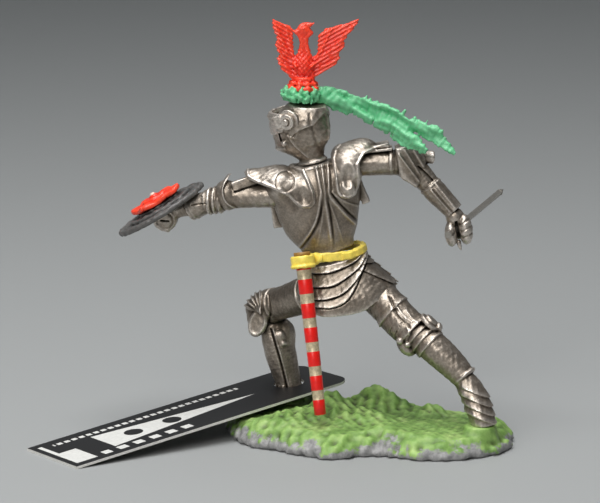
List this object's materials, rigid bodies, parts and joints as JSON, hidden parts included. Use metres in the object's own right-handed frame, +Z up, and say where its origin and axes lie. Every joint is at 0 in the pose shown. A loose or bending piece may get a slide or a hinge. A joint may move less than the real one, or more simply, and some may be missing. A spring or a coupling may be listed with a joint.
{
  "type": "painted miniature figure",
  "caption": "Lunging armoured knight toy figure on a green ground piece, with swap-over helmet, crest, mantling, belt, scabbard, sword and buckler, and a card tag on the front ankle.",
  "frame": {"origin": "on the flat underside of the ground piece, under the middle of its length", "axes": "+X towards the figure's rear foot along the ground piece, +Y away from the figure's back, +Z up"},
  "size_m": [0.0737, 0.0403, 0.064],
  "materials": {
    "painted_base": "matte green enamel worn to grey plastic",
    "armour": "metallic grey plastic with a dark wash",
    "belt_yellow": "soft satin vinyl",
    "scabbard_bands": "red plastic with dull gold paint bands",
    "flesh": "matte",
    "mantling_green": "satin",
    "crest_red": "satin",
    "sword_silver": "dull silver",
    "buckler_dark": "dark metallic grey",
    "tag_card": "printed black card with white core"
  },
  "bodies": {
    "stand": {"base": "painted_base", "legs": "armour"},
    "upper": {"torso": "armour", "left_arm": "armour", "right_arm": "armour"},
    "waist_belt": {"belt": "belt_yellow"},
    "scabbard": {"scabbard": "scabbard_bands"},
    "head": {"helmet": "armour", "face": "flesh"},
    "visor": {"visor": "armour"},
    "mantling": {"mantling": "mantling_green"},
    "crest": {"crest": "crest_red"},
    "sword": {"sword": "sword_silver"},
    "buckler": {"buckler": "buckler_dark"},
    "rosette": {"rosette": "crest_red"},
    "tag": {"tag": "tag_card"}
  },
  "joints": [
    {"name": "waist_swivel", "type": "hinge", "parent": "stand", "child": "upper", "pos_m": [-0.0063, 0.002, 0.0282], "axis": [-0.2419, 0, 0.9703], "range_deg": [-60, 45]},
    {"name": "belt_swivel", "type": "hinge", "parent": "stand", "child": "waist_belt", "pos_m": [-0.0063, 0.002, 0.0282], "axis": [-0.2419, 0, 0.9703], "range_deg": [-20, 20]},
    {"name": "scabbard_slide", "type": "slide", "parent": "waist_belt", "child": "scabbard", "axis": [-0.1132, 0.1657, 0.9797], "range_m": [0, 0.0015]},
    {"name": "neck_swivel", "type": "hinge", "parent": "upper", "child": "head", "pos_m": [-0.0094, 0.002, 0.04227], "axis": [-0.2419, 0, 0.9703], "range_deg": [-100, 5]},
    {"name": "visor_lift", "type": "hinge", "parent": "head", "child": "visor", "pos_m": [-0.01136, 0.00209, 0.04941], "axis": [0.4555, 0.8829, 0.1136], "range_deg": [0, 35]},
    {"name": "mantling_swivel", "type": "hinge", "parent": "head", "child": "mantling", "pos_m": [-0.01087, 0.00158, 0.05149], "axis": [0.0698, 0, 0.9976], "range_deg": [-45, 5]},
    {"name": "crest_swivel", "type": "hinge", "parent": "head", "child": "crest", "pos_m": [-0.01087, 0.00158, 0.05149], "axis": [0.0698, 0, 0.9976], "continuous": true},
    {"name": "sword_slide", "type": "slide", "parent": "upper", "child": "sword", "axis": [0.4121, 0.8976, 0.1567], "range_m": [0, 0.004]},
    {"name": "buckler_swivel", "type": "hinge", "parent": "upper", "child": "buckler", "pos_m": [-0.0315, 0.0065, 0.03295], "axis": [-0.515, 0, 0.8572], "continuous": true},
    {"name": "rosette_swivel", "type": "hinge", "parent": "buckler", "child": "rosette", "pos_m": [-0.0315, 0.0065, 0.03295], "axis": [-0.515, 0, 0.8572], "continuous": true},
    {"name": "tag_swing", "type": "hinge", "parent": "stand", "child": "tag", "pos_m": [-0.0129, 0.012, 0.0061], "axis": [0, 0, 1], "range_deg": [-25, 3]}
  ]
}
